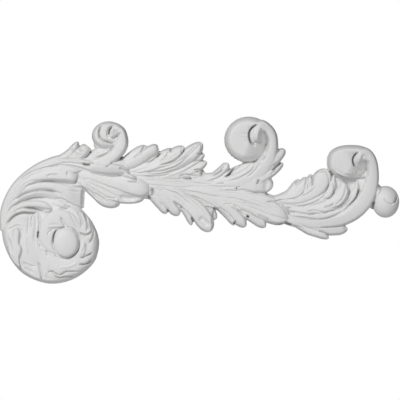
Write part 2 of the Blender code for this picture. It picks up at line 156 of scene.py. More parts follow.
def smooth_line(points, shares):
    """Places at the given shares of a smooth line through the points."""
    points = np.array(points, float)
    knots = np.append(0, np.cumsum(np.sqrt(np.linalg.norm(np.diff(points, axis=0), axis=1))))
    spans = np.diff(knots)
    slopes = np.diff(points, axis=0) / spans[:, None]
    tangents = np.empty_like(points)
    before, after = spans[:-1, None], spans[1:, None]
    tangents[1:-1] = (slopes[:-1] * after + slopes[1:] * before) / (before + after)
    tangents[0] = 2 * slopes[0] - tangents[1] if len(points) > 2 else slopes[0]
    tangents[-1] = 2 * slopes[-1] - tangents[-2] if len(points) > 2 else slopes[0]
    fine = np.linspace(0, knots[-1], LINE_POINTS)
    i = np.clip(np.searchsorted(knots, fine, side="right") - 1, 0, len(spans) - 1)
    span = spans[i, None]
    t = (fine - knots[i])[:, None] / span
    line = (
        (2 * t**3 - 3 * t**2 + 1) * points[i]
        + (t**3 - 2 * t**2 + t) * span * tangents[i]
        + (3 * t**2 - 2 * t**3) * points[i + 1]
        + (t**3 - t**2) * span * tangents[i + 1]
    )
    run = np.append(0, np.cumsum(np.linalg.norm(np.diff(line, axis=0), axis=1)))
    wanted = np.asarray(shares) * run[-1]
    return np.column_stack([np.interp(wanted, run, line[:, 0]), np.interp(wanted, run, line[:, 1])])


def eased(values, shares):
    """Values spread evenly along a form, with soft changes between them."""
    values = np.array(values, float)
    x = np.asarray(shares) * (len(values) - 1)
    i = np.clip(x.astype(int), 0, len(values) - 2)
    t = x - i
    t = (t + t * t * (3 - 2 * t)) / 2
    return values[i] + (values[i + 1] - values[i]) * t


def rounded(inwards, rim):
    """Share of the full height at a distance inwards from an edge that rounds over within the rim."""
    open_share = 1 - np.clip(inwards / rim, 0, 1)
    return (1 - open_share**ROUNDNESS) ** (1 / ROUNDNESS)


def closed_shell(rings):
    """A shell through rings of points, closed over the first and the last."""
    shell = bmesh.new()
    rings = [[shell.verts.new(point) for point in ring] for ring in rings]
    for ring, following in zip(rings, rings[1:]):
        for j in range(len(ring)):
            k = (j + 1) % len(ring)
            shell.faces.new((ring[j], ring[k], following[k], following[j]))
    shell.faces.new(rings[0][::-1])
    shell.faces.new(rings[-1])
    return shell


def loft(left, right, heights, rim, crown, tilt, reeds=1):
    """A closed shell between two edges: its face rounds over within the rim, and it ends behind the back."""
    face = 1 - crown * ACROSS**2 + tilt * ACROSS
    if reeds > 1:
        face = face - REED_DEPTH * (1 - np.abs(np.sin(math.pi * reeds * (ACROSS + 1) / 2))) ** 2
    rings = []
    for a, b, height in zip(right, left, heights):
        between = a + np.outer((ACROSS + 1) / 2, b - a)
        half = np.linalg.norm(b - a) / 2
        side = rounded((1 - np.abs(ACROSS)) * half, min(rim, WIDEST_RIM * half))
        ring = place(between[:, 0], between[:, 1], height * side * face)
        ring[[0, -1], 1] = BURIED
        rings.append(ring)
    return closed_shell(rings)


def blade(points, widths, heights, rim=2.8, tip=0.8, blunt=2.0, crown=0.12, tilt=0.0, reeds=1):
    """A lobe or stem along a line: half-widths and heights from root to end, closing from the tip on."""
    shares = np.sin(np.linspace(0, math.pi / 2, STATIONS))
    middle = smooth_line(points, shares)
    way = np.gradient(middle, axis=0)
    way /= np.linalg.norm(way, axis=1)[:, None]
    aside = np.column_stack([-way[:, 1], way[:, 0]])
    closing = np.clip((shares - tip) / (1 - tip), 0, 1)
    half = (eased(widths, shares) + SOFTENED) * (1 - TIP_CLOSED * closing**blunt) ** (1 / blunt)
    height = eased(heights, shares) * (1 - TIP_DROP * closing**3)
    aside = aside * half[:, None]
    return loft(middle + aside, middle - aside, height, rim, crown, tilt, reeds)


def oval(centre, radii, angle, square=2.0):
    """Places on an oval at the angles: 2 is an ellipse, more is squarer."""
    cos, sin = np.cos(angle), np.sin(angle)
    reach = (np.abs(cos) ** square + np.abs(sin) ** square) ** (-1 / square)
    return np.column_stack([centre[0] + radii[0] * cos * reach, centre[1] + radii[1] * sin * reach])


def scroll(outer, inner, turn, heights, closing, rim, crown):
    """A scroll's turn between two ovals (u, v, half-width, half-height), through angles in degrees. From
    the closing angle on, it draws in to the inner oval."""
    angle = np.radians(np.linspace(*turn, TURN_STATIONS))
    outside = oval(outer[:2], (outer[2] + SOFTENED, outer[3] + SOFTENED), angle)
    inside = oval(inner[:2], inner[2:], angle)
    t = np.clip((np.degrees(angle) - closing) / (turn[1] - closing), 0, 1)
    t = (CURL_CLOSED * t * t * (3 - 2 * t))[:, None]
    outside = outside * (1 - t) + inside * t
    height = eased(heights, np.linspace(0, 1, TURN_STATIONS))
    return loft(inside, outside, height, rim, crown, tilt=0)


def plate(edge, height, rim, lean):
    """A flat form inside a closed edge: it rounds over within the rim and falls away towards its lean."""
    middle = (edge.max(axis=0) + edge.min(axis=0)) / 2
    out = edge - middle
    radius = np.linalg.norm(out, axis=1)
    out = out * (1 + SOFTENED / radius)[:, None]
    span = np.abs(out).max(axis=0)
    rings = []
    for share in np.cos(np.linspace(0, PLATE_CLOSED * math.pi / 2, STATIONS)):
        x, y = (share * out / span).T
        fall = 1 - np.clip(lean[0] * x + lean[1] * y, 0, 1) ** LEAN_CURVE
        top = height * rounded((1 - share) * radius, rim) * fall
        ring = place(middle[0] + share * out[:, 0], middle[1] + share * out[:, 1], top)
        if share == 1:
            ring[:, 1] = BURIED
        rings.append(ring)
    return closed_shell(rings)


def disc(centre, radii, height, rim, lean=(0.0, 0.0), square=2.0):
    """The flat end of a roll, inside an oval."""
    angle = np.linspace(0, 2 * math.pi, TURN_STATIONS, endpoint=False)
    return plate(oval(centre, radii, angle, square), height, rim, lean)


def boss(centre, radii, top, depth):
    """A ball or low mound: its half-width and half-height, the height of its top, and its own rise."""
    shell = bmesh.new()
    bmesh.ops.create_uvsphere(shell, u_segments=BALL_SEGMENTS, v_segments=BALL_RINGS, radius=1)
    wide, high = (radius + SOFTENED for radius in radii)
    bmesh.ops.scale(shell, vec=(wide * SQUARE, high * SQUARE, depth * PROJECTION), verts=shell.verts)
    bmesh.ops.rotate(shell, matrix=Matrix.Rotation(math.pi / 2, 3, "X"), verts=shell.verts)
    bmesh.ops.translate(shell, vec=place([centre[0]], [centre[1]], [top - depth])[0], verts=shell.verts)
    return shell


def ground():
    """Low ground under the leaves and inside the scrolls, which ties them into one casting."""
    return [
        blade([(12, 85), (40, 102), (78, 108)], (6, 12, 14), (0.30, 0.34, 0.34), tip=0.9, blunt=6),
        boss((60, 88), (22, 12), 0.48, 0.36),
        blade([(76, 140), (100, 140), (124, 134)], (9, 6, 5), (0.46, 0.44, 0.40)),
        boss((101, 155.6), (7.2, 6.2), 0.50, 0.40),
        blade([(92, 146), (102, 148.6), (113, 151)], (4, 4.6, 5), (0.38, 0.42, 0.46)),
        blade([(100, 134), (116, 134.5), (131, 139)], (4, 5.4, 4), (0.58, 0.58, 0.46)),
        blade([(36, 125), (60, 130.5), (82, 129)], (3, 5, 5), (0.56, 0.62, 0.62)),
        boss((110, 162), (14, 12), 0.46, 0.34),
        blade([(115, 130), (150, 131), (196, 133)], (9, 14, 14), (0.28, 0.32, 0.30), blunt=3),
        blade([(192, 119), (214, 121.5), (240, 124)], (7, 6, 8), (0.40, 0.40, 0.42)),
        boss((256, 157), (16, 20), 0.30, 0.24),
        blade(
            [(150, 108), (200, 103), (250, 98), (284, 92)],
            (7, 10, 11, 9),
            (0.44, 0.50, 0.52, 0.52),
            blunt=3,
            crown=0.04,
        ),
        blade([(285, 93), (320, 99), (358, 116)], (8, 17, 15), (0.32, 0.34, 0.34), blunt=4),
        boss((340, 117), (16, 10), 0.36, 0.30),
        boss((362, 116), (10, 14), 0.38, 0.30),
        boss((271, 137), (6, 13), 0.58, 0.50),
        boss((357, 130), (14, 17), 0.34, 0.24),
        blade([(364, 107), (375, 99.4), (388, 97)], (8, 8.8, 6), (0.38, 0.38, 0.38)),
    ]


def sheath():
    """The leaf that folds over the great scroll, with its bands fanning out to the right."""
    return [
        blade(
            [(6.6, 70), (8.2, 92), (19.2, 112.8), (38.1, 129.3), (58, 138.8), (74, 145)],
            (6.2, 6.9, 7.2, 7.0, 6.4, 4),
            (0.40, 0.46, 0.54, 0.60, 0.60, 0.56),
            tilt=-0.08,
        ),
        blade(
            [(50, 136.8), (67.2, 144.2), (78.1, 158.3)],
            (5.4, 4.8, 3.6),
            (0.50, 0.58, 0.62),
            tilt=-0.05,
        ),
        blade([(62, 137), (78.4, 145), (88, 153.8)], (6, 6.6, 5.6), (0.56, 0.58, 0.57), blunt=4),
        blade(
            [
                (9, 84), (20, 108), (38, 124.5), (60, 136), (80, 135.6), (98, 131.4), (113, 130.2),
                (128.4, 127.4),
            ],
            (3, 3.6, 4.4, 4.8, 5, 6.2, 7, 5.4, 2.4),
            (0.42, 0.50, 0.58, 0.62, 0.62, 0.63, 0.66, 0.68, 0.64),
            tip=0.94,
            tilt=0.08,
            reeds=2,
        ),
        blade([(88, 136), (100, 138.4), (112, 137.4)], (4, 4.4, 3), (0.58, 0.62, 0.62)),
        blade(
            [(90, 132), (102, 131), (117, 130.4), (129.4, 127.2)],
            (3, 5.4, 6.2, 5.4, 2.6),
            (0.64, 0.76, 0.84, 0.86, 0.80),
            tilt=0.13,
            crown=0.06,
            tip=0.9,
        ),
        blade(
            [(7, 82), (10, 100), (20, 113.5), (38, 123.5), (58, 126), (77.4, 121)],
            (3, 3.6, 4.8, 6.4, 7.4, 5),
            (0.42, 0.50, 0.59, 0.65, 0.68, 0.68),
            blunt=5,
            tip=0.9,
            tilt=-0.06,
        ),
        blade(
            [(7, 80), (12, 97), (20, 106.5), (38, 113.5), (56, 113), (72, 104.8), (84.6, 102.2)],
            (2.5, 3, 4, 5, 5.5, 9, 11),
            (0.40, 0.46, 0.52, 0.56, 0.58, 0.56, 0.33),
            blunt=8,
            tip=0.93,
            rim=3.5,
        ),
        blade(
            [(7, 77), (14, 93), (26, 102.5), (42, 105.5), (58, 102), (68, 96)],
            (2, 3, 4, 4.5, 5, 5),
            (0.40, 0.46, 0.51, 0.52, 0.50, 0.46),
            tilt=0.26,
        ),
        blade(
            [(7, 80), (18, 92.5), (32, 96), (44, 95), (53.5, 90.5)],
            (2.5, 3.6, 4.2, 4.6, 4),
            (0.42, 0.52, 0.58, 0.62, 0.60),
        ),
        blade([(6, 76), (14, 85), (25, 89), (38.5, 88)], (2, 3, 3, 2.5), (0.44, 0.54, 0.58, 0.58)),
        blade([(52, 98), (62, 95.5), (71, 92.5)], (4, 4, 3), (0.45, 0.52, 0.52)),
    ]


def great_scroll():
    """The large scroll at the lower left: its outer turn, its inner curl and its eye."""
    outline = [
        (52, 108), (30, 104), (12, 92), (3, 76), (2.2, 68), (3.2, 60), (5.6, 52), (10.7, 41.2), (20, 29.2),
        (30, 22.4), (40, 18.4), (50, 16.4), (60, 17), (70, 19.6), (80, 24.6), (90.6, 33.6), (95.7, 40.7),
        (98.4, 49.8), (99.2, 58), (97.3, 67.3), (93.3, 76.2), (88.3, 83.6), (80, 92), (68, 102),
    ]
    lobe = [
        (5.6, 64), (9, 69.4), (14, 71.6), (18, 73), (20.6, 70), (20.2, 63), (21, 57), (23.4, 52.4),
        (22.6, 47.6), (20.4, 42), (20.6, 37.6), (21.4, 32.6), (16.6, 36), (11.6, 43), (7.6, 52),
    ]
    turns = np.linspace(0, 1, TURN_STATIONS, endpoint=False)
    edge = smooth_line(outline + outline[:1], turns)
    lobe_edge = smooth_line(lobe + lobe[:1], turns)
    return [
        plate(edge, 0.58, 8, lean=(0, 0.55)),
        plate(lobe_edge, 0.74, 2.0, lean=(-0.65, 0.30)),
        blade(
            [(90.5, 60), (89, 71), (84.5, 80), (79.5, 88)],
            (3, 4.4, 4.6, 4),
            (0.50, 0.56, 0.56, 0.52),
        ),
        scroll(
            (61, 66.5, 22.5, 25),
            (66.5, 57.5, 12, 14),
            (20, 265),
            (0.56, 0.62, 0.66, 0.67, 0.64, 0.58),
            closing=190,
            rim=3,
            crown=0.06,
        ),
        disc((66.8, 57.6), (12.2, 14.6), 0.74, 1.8),
        boss((66.6, 57.8), (11.8, 14.2), 0.88, 0.16),
    ]


def stem():
    """The reeded stem that runs through the whole sprig."""
    line = [
        (30, 110), (60, 120), (90, 121), (120, 118), (150, 115), (200, 111), (240, 105), (280, 95), (310, 88),
    ]
    heights = (0.40, 0.42, 0.46, 0.48, 0.48, 0.48, 0.46, 0.42, 0.40)
    return [blade(line, (8, 9, 9, 9, 9, 9, 9, 8, 8), heights, reeds=4)]


def first_volute():
    """The small volute at the top left: its roll, and the stem that runs over into a rounded tongue."""
    return [
        disc((108.8, 164.2), (16.8, 14.4), 0.72, 5, lean=(0.5, -0.45)),
        blade(
            [
                (84, 135), (102, 138.5), (115, 146), (121.8, 156), (121.2, 167), (114.5, 172.6),
                (105.5, 170.5), (103.5, 164.5), (108, 160),
            ],
            (5.4, 8, 8, 7.0, 6.9, 5.4, 4.6, 4.2, 2.5),
            (0.48, 0.56, 0.64, 0.70, 0.76, 0.78, 0.72, 0.68, 0.60),
            rim=3,
            tilt=-0.05,
        ),
        blade(
            [(121, 166), (118, 171), (113.5, 170.5), (113.5, 165)],
            (5, 4.5, 4, 4),
            (0.70, 0.78, 0.78, 0.74),
            rim=3,
            blunt=3,
        ),
    ]


def lower_left_leaf():
    """The broad leaf below the first volute."""
    return [
        blade(
            [(70, 128), (98, 122), (125, 115.6), (149, 109.4)],
            (5, 8, 9.5, 10),
            (0.45, 0.55, 0.64, 0.70),
            blunt=3,
            rim=3.5,
        ),
        blade(
            [(74, 124), (95, 113), (118, 104.2), (144, 103.5)],
            (4, 7, 7, 6),
            (0.45, 0.50, 0.50, 0.46),
            blunt=3,
            crown=-0.1,
        ),
        blade(
            [(81, 117.8), (94.4, 107.1), (106, 98.7), (120, 96.5)],
            (2.5, 4.6, 6, 4.6),
            (0.42, 0.45, 0.44, 0.40),
            tilt=0.1,
        ),
        blade([(116, 127), (128, 124), (136.6, 121.2)], (3, 3.4, 3.4), (0.62, 0.72, 0.78), tilt=0.12),
        blade([(135, 112), (146, 109), (154, 107)], (8, 8, 7), (0.34, 0.34, 0.34), tip=0.9),
    ]


def upper_leaves():
    """The fan of lobes above the stem, between the first two volutes."""
    return [
        blade(
            [(118, 132), (130.5, 143), (140.5, 150.4), (146.8, 153.8)],
            (3, 4.6, 4.6, 3.4),
            (0.42, 0.46, 0.48, 0.46),
            tilt=-0.15,
        ),
        blade(
            [(120, 131), (140, 141), (152, 149), (158.8, 151.7)],
            (4, 7, 6.6, 5.8),
            (0.45, 0.56, 0.62, 0.60),
            blunt=3,
            tip=0.85,
            crown=0.22,
            tilt=0.06,
        ),
        blade([(130, 130), (152, 138.4), (172.2, 151.3)], (4, 5.8, 4), (0.42, 0.48, 0.50), tilt=-0.18),
        blade([(132, 128), (158, 136.8), (184.2, 153.2)], (4, 6.5, 6), (0.42, 0.54, 0.56), tilt=-0.18),
        blade(
            [(130, 126), (160, 131), (185, 141.7), (201.6, 157.4)],
            (4, 6, 8.4, 7.8),
            (0.42, 0.52, 0.60, 0.64),
            reeds=2,
        ),
        blade([(140, 124), (170, 129), (204.4, 146)], (4, 7, 5), (0.38, 0.44, 0.44), tilt=-0.15),
        blade([(140, 122), (175, 126), (207, 138)], (4, 7, 5.2), (0.36, 0.40, 0.42), tilt=-0.15),
        blade([(150, 121), (180, 124.5), (204.8, 128)], (3, 4.4, 4.8), (0.44, 0.42, 0.36)),
    ]


def lower_leaves():
    """The two fans of lobes that hang below the stem."""
    return [
        blade([(147, 108), (158.5, 98.2), (166.4, 86.2)], (4, 5.2, 3.8), (0.42, 0.44, 0.42), tilt=0.18),
        blade([(150, 110), (166, 98.3), (179, 84.6)], (4, 6, 5.2), (0.45, 0.52, 0.50), tilt=0.18),
        blade([(170, 108), (183, 95.4), (191.4, 74.6)], (7, 5.2, 2.9), (0.46, 0.48, 0.42), tilt=0.15),
        blade(
            [(160, 111), (183, 101), (200, 86.2), (209.4, 68)],
            (4, 8, 9.4, 8.8),
            (0.45, 0.55, 0.62, 0.66),
            crown=-0.05,
            tilt=0.10,
        ),
        blade([(180, 107), (203, 95), (216, 80.6)], (4, 6, 4.5), (0.40, 0.42, 0.30), tilt=0.28),
        blade([(208, 101), (224.4, 88.8), (234.6, 74.7)], (4, 4.4, 3.4), (0.40, 0.42, 0.40), tilt=0.18),
        blade([(205, 103), (226, 92), (245.3, 73)], (4, 7, 5.7), (0.44, 0.52, 0.52), tilt=0.15),
        blade([(227, 101), (247.6, 88), (265.4, 72.7)], (7, 7, 5), (0.46, 0.47, 0.42), tilt=0.1),
        blade(
            [(215, 106), (245, 98), (270, 89), (288, 83)],
            (4, 9, 12.4, 11.4),
            (0.46, 0.54, 0.62, 0.66),
            blunt=3,
            rim=4,
            tilt=-0.04,
            reeds=3,
        ),
    ]


def second_volute():
    """The tallest volute: its roll, the stem that runs over into a tongue, and the lobes beside it."""
    return [
        blade(
            [(203, 121), (213, 123.4), (219, 129.4), (223, 133.8)],
            (2, 2.5, 3, 2.5),
            (0.38, 0.42, 0.42, 0.40),
            tilt=-0.15,
        ),
        blade([(205, 120), (218, 126.4), (228, 136.9)], (3, 4.5, 4.5), (0.42, 0.48, 0.48), tilt=-0.15),
        blade([(215, 118), (235, 126), (254, 137)], (4, 7, 5), (0.44, 0.50, 0.52), tilt=-0.12),
        disc((248.6, 160.3), (24.3, 23.0), 0.88, 7, lean=(0.95, -0.35)),
        blade(
            [
                (225, 112), (246, 121), (262, 132.5), (268.6, 141), (272, 149.5), (272.6, 157),
                (271.4, 164.2), (266.8, 170.8), (260, 174.6), (255.6, 168.5), (255.4, 160.5),
                (255.8, 156.8),
            ],
            (7.5, 8.2, 9, 9.2, 9, 7.6, 5.8, 5.4, 5.8, 5.8, 5.2, 4.4),
            (0.50, 0.52, 0.55, 0.58, 0.63, 0.68, 0.72, 0.76, 0.82, 0.92, 1.00, 0.95),
            rim=3,
            blunt=2.6,
            tip=0.93,
            tilt=0.06,
        ),
        boss((262.8, 172), (6, 3.6), 0.88, 0.14),
        blade([(264, 134), (275, 141.6), (284.6, 150.9)], (5, 6, 3.8), (0.66, 0.60, 0.46)),
        blade([(254, 118), (270, 126.8), (283, 137)], (6, 4.8, 3), (0.56, 0.54, 0.44)),
        blade([(236, 114), (257, 116.4), (273, 113.6)], (5, 9.5, 7.6), (0.50, 0.54, 0.42), crown=0.04),
    ]


def right_leaf():
    """The leaf at the right, whose lobes curl up towards the third volute."""
    return [
        blade(
            [(272, 100), (287, 104), (294, 112.4), (298.8, 120.9)],
            (4, 5.5, 4.5, 3.5),
            (0.42, 0.46, 0.46, 0.44),
            tilt=-0.15,
        ),
        blade(
            [(276, 101), (293, 107), (301, 114.6), (305, 123.2)],
            (4, 5, 4.5, 3.5),
            (0.44, 0.48, 0.50, 0.48),
            tilt=-0.15,
        ),
        blade(
            [(278, 101), (296, 106), (306, 114.6), (310.8, 125.8)],
            (4, 5, 4.5, 3.5),
            (0.44, 0.50, 0.52, 0.52),
            tilt=-0.15,
        ),
        blade(
            [(282, 99), (305, 104.5), (318.7, 116), (324.8, 131.5)],
            (4, 7, 9.4, 9.6),
            (0.46, 0.55, 0.59, 0.61),
            tilt=-0.09,
        ),
        blade(
            [(285, 95), (308, 98), (325, 104), (331.5, 115), (333, 125)],
            (4, 5, 5.5, 5, 3.4),
            (0.44, 0.50, 0.55, 0.59, 0.56),
            tilt=-0.12,
        ),
        blade(
            [(290, 92), (315, 92), (334, 99), (342, 111), (340, 119)],
            (4, 6, 8, 7.5, 6),
            (0.44, 0.52, 0.60, 0.64, 0.66),
            tilt=-0.15,
        ),
        blade(
            [(295, 87), (325, 86), (343, 96), (354, 108), (356, 120)],
            (3, 4, 5, 5, 4),
            (0.44, 0.46, 0.48, 0.52, 0.58),
            tilt=-0.12,
        ),
        blade([(290, 78.5), (309, 71.4), (328.6, 61.6)], (3, 6.2, 3.4), (0.38, 0.42, 0.40)),
        blade([(295, 80), (322, 72), (347.5, 71)], (4, 7, 5.4), (0.42, 0.46, 0.44), tilt=0.1),
    ]


def third_volute():
    """The volute at the right end: its roll, the stem that runs over into a tongue, and the ball."""
    return [
        disc((350.8, 137.8), (24.1, 17.2), 0.86, 5.6, lean=(0.95, -0.35), square=2.4),
        blade(
            [
                (285, 82), (315, 79), (348, 86), (362.5, 98), (369.4, 112), (371.7, 124), (371.6, 134),
                (369.2, 142.2), (364.4, 147.2), (359, 146.6), (357, 140.5), (357.2, 135),
            ],
            (6, 7, 8.2, 9.2, 9.4, 9.4, 9.2, 9, 8.4, 7.4, 6.3, 5.8, 5.2, 4.0),
            (0.46, 0.49, 0.52, 0.54, 0.56, 0.58, 0.60, 0.63, 0.66, 0.70, 0.76, 0.84, 0.94, 0.92),
            rim=3,
            blunt=2.6,
            tip=0.94,
            tilt=0.05,
        ),
        boss((364, 144), (6.4, 4.6), 0.86, 0.14),
        boss((377, 108), (5, 8), 0.56, 0.50),
        boss((385.4, 98.2), (13.6, 15.9), 0.68, 0.60),
    ]


# Carved lines: points, half-width in squares, and depth as a share of the projection, which is negative
# where the line is a raised rib
GREAT_SCROLL_LINES = [
    ([(8, 70.4), (13, 72.4), (18, 74.4), (21.4, 73.6), (22.4, 70), (21.8, 63), (22, 58)], 1.4, 0.06),
    ([(36.4, 86), (37.2, 76), (36.4, 66), (37, 56)], 3.2, 0.07),
    ([(24, 38), (28, 36), (31, 34.5), (36, 34.4)], 1.5, 0.09),
    ([(26, 33), (30, 30), (34, 28)], 1.4, 0.06),
    ([(39, 38), (41, 33), (42.2, 27), (41.8, 20)], 1.8, 0.14),
    ([(9, 62), (12, 54), (13.4, 46)], 1.6, 0.05),
    ([(46, 26), (48, 23), (49, 21)], 1.3, 0.06),
    ([(34, 85), (32.5, 79), (33.4, 73)], 1.5, 0.08),
    ([(39, 88), (40.3, 80), (39.8, 72), (38.5, 65), (39.3, 58), (41, 53)], 2.0, 0.14),
    ([(30, 86), (29.4, 76), (28.4, 66)], 1.5, 0.06),
    ([(39, 69.6), (38.5, 65.5), (38.1, 61.4)], 1.25, 0.36),
    ([(40, 56), (41, 54.5), (41.2, 53)], 1.4, 0.12),
    ([(34, 65), (35.3, 60)], 1.3, 0.05),
    ([(50, 75.2), (55, 75.6), (60, 75.4)], 1.1, 0.04),
    ([(49, 71), (55, 72), (60, 72), (63, 72.6), (66.5, 74)], 1.5, 0.10),
    ([(61.8, 83), (63.4, 79), (65, 76), (67, 73.6)], 1.6, 0.12),
    ([(49, 65), (50, 68), (52, 69.2), (55, 71)], 1.3, 0.06),
    ([(58, 70.6), (55.4, 67.4), (54.2, 63), (53.9, 59), (54.6, 55.6)], 1.3, 0.20),
    ([(54.4, 53), (56.4, 48), (60, 44)], 1.2, 0.05),
    ([(72, 72), (76, 69), (79, 64), (80, 57.5), (79.2, 51), (76.4, 46.6), (71.6, 43.2),
      (66, 42)], 1.2, 0.14),
    ([(66, 42), (60, 42.4), (54.6, 45)], 1.2, 0.06),
    ([(47, 50), (48, 47), (48.6, 44)], 1.4, 0.10),
    ([(41, 50), (46, 48)], 1.2, 0.04),
    ([(78, 88), (81, 83), (82.2, 78), (82, 72)], 1.5, 0.14),
    ([(70, 88), (73, 82), (76, 76), (77, 72)], 1.2, 0.07),
    ([(83.5, 89), (86, 84), (88, 78), (88, 72), (87, 69)], 1.8, 0.19),
    ([(80, 68), (83, 66), (87, 65.5), (91, 67.5), (93, 70)], 1.5, 0.16),
    ([(94, 69), (93.5, 64), (91, 59), (90, 57)], 1.6, 0.16),
    ([(87, 57), (86.5, 52), (86.5, 47), (84, 44), (82, 42)], 1.4, 0.11),
    ([(81, 42), (87, 44.5), (93, 47.5)], 1.6, 0.19),
    ([(80, 36), (84, 36), (88, 37), (92.5, 41)], 1.7, 0.19),
    ([(49, 26), (50, 28.5), (53, 29), (56, 27), (60, 25.5), (63, 26.5), (66, 28.5), (72, 29),
      (80, 28.5)], 1.5, 0.14),
    ([(55, 25), (60, 22.5), (66, 23.5), (75, 23.5)], 1.4, 0.14),
    ([(8.4, 52), (13.4, 42.4), (22.2, 31.8), (31.2, 25.4), (41, 21.4), (51, 19.4), (60, 20)], 3.0, -0.07),
    ([(8, 67), (11, 64), (13, 58)], 1.6, -0.03),
    ([(26, 62), (27, 54), (28, 46)], 2.2, -0.03),
    ([(60, 33), (70, 34), (78, 38)], 2.0, -0.03),
    ([(85, 61), (84, 55), (82, 50)], 1.6, -0.03),
]
SHEATH_LINES = [
    ([(57, 140), (65, 141), (75, 140.5), (80, 140)], 1.2, 0.06),
    ([(30, 128), (42, 133.5), (52, 137), (60, 138.4)], 1.1, 0.03),
    ([(18, 117), (25, 123), (33, 128), (40, 130.5), (50, 133), (60, 134.5), (70, 134)], 1.5, 0.09),
    ([(60, 134.5), (70, 134), (80, 132), (88, 129.5), (95, 127), (100, 125.5)], 1.5, 0.09),
    ([(12, 107), (20, 114), (25, 119), (33, 124.5), (40, 127)], 1.2, 0.04),
    ([(49, 122), (49.5, 124.6), (55, 125.2), (60, 124.6)], 1.2, 0.08),
    ([(68, 128), (68.3, 124)], 1.3, 0.10),
    ([(78.4, 126), (78, 122), (76, 118), (75, 116.5)], 1.5, 0.12),
    ([(15, 107), (22, 113), (30, 118), (40, 119.4), (50, 118.6), (60, 117.5), (70, 116.5),
      (76, 116.5)], 1.4, 0.04),
    ([(68, 110), (75, 108.5), (80, 108)], 1.3, 0.06),
    ([(11, 95), (15, 100), (20, 103), (28, 107), (35, 108.5), (45, 109.2), (55, 108.7), (62, 106),
      (68, 102)], 1.2, 0.06),
    ([(9, 87), (12, 92), (17, 96), (22, 99), (28, 101), (35, 102.5), (42, 102.5), (47, 102)], 1.7, 0.11),
    ([(56, 101.5), (62, 101), (67, 99)], 1.2, 0.06),
    ([(25, 92.5), (33, 92), (40, 90), (46, 88.4)], 1.8, 0.18),
    ([(7, 74), (10, 79), (15, 84), (20, 86.5), (25, 87.5), (30, 87), (37, 86.5)], 2.1, 0.20),
    ([(83, 136.2), (87, 135.4), (91, 135)], 1.8, 0.26),
    ([(89, 136.4), (96, 136)], 1.1, 0.08),
    ([(45, 88), (49, 87.5), (53, 91)], 1.6, 0.12),
    ([(60, 91.6), (65, 91.5), (70, 92)], 1.2, 0.09),
    ([(65, 95), (68, 93), (70, 92)], 1.4, 0.09),
    ([(84, 141.6), (88, 144), (91, 147.4), (94.4, 149)], 1.6, 0.18),
    ([(89, 146.4), (91.4, 148), (94.4, 149.4)], 1.4, 0.16),
    ([(85.4, 143.4), (88, 146.4), (89, 150)], 1.1, 0.06),
    ([(72, 152), (74, 149), (78, 146), (82, 144)], 1.2, 0.08),
    ([(80, 152), (82, 149), (84, 147)], 1.3, 0.10),
    ([(112.5, 138), (111.5, 136), (109.5, 134), (106.2, 132.6)], 1.6, 0.12),
    ([(120, 132), (124, 129.2), (127.6, 127.4)], 2.2, 0.12),
    ([(84, 131), (90, 128.6), (96, 125.6), (102, 124), (110, 123.6), (118, 123.8), (125, 125)], 1.4, 0.10),
    ([(132, 124.2), (135.5, 122.8), (137.2, 120), (136.6, 118), (132, 118), (128, 118.5)], 1.4, 0.12),
    ([(85, 120), (90, 120.5), (96, 118), (103, 115.5), (110, 113), (118, 110.5), (124, 108.5)], 1.2, 0.06),
    ([(83.4, 111.4), (83.2, 102), (82.8, 93.4)], 2.4, 0.22),
    ([(86, 117), (90, 113), (95, 110), (100, 107), (105, 104), (110, 102), (118, 102)], 1.4, 0.10),
    ([(90, 117), (96, 114), (105, 110), (112, 106), (120, 103), (128, 103)], 1.4, 0.06),
    ([(92, 112), (97, 106), (103, 101), (108, 98)], 1.2, 0.06),
    ([(88, 112), (93, 106), (99, 100)], 1.1, 0.05),
    ([(118, 104), (120, 101), (118.6, 97), (115.6, 94)], 1.6, 0.07),
    ([(120, 103), (128, 101), (136, 101.6)], 5.0, 0.14),
    ([(138, 117), (143, 116), (147, 113.5), (151, 111)], 1.3, 0.06),
    ([(151.4, 111.6), (153, 108), (152, 104)], 2.2, 0.24),
    ([(149.6, 104.6), (149.4, 102.6), (150.4, 100.8)], 1.9, 0.50),
]
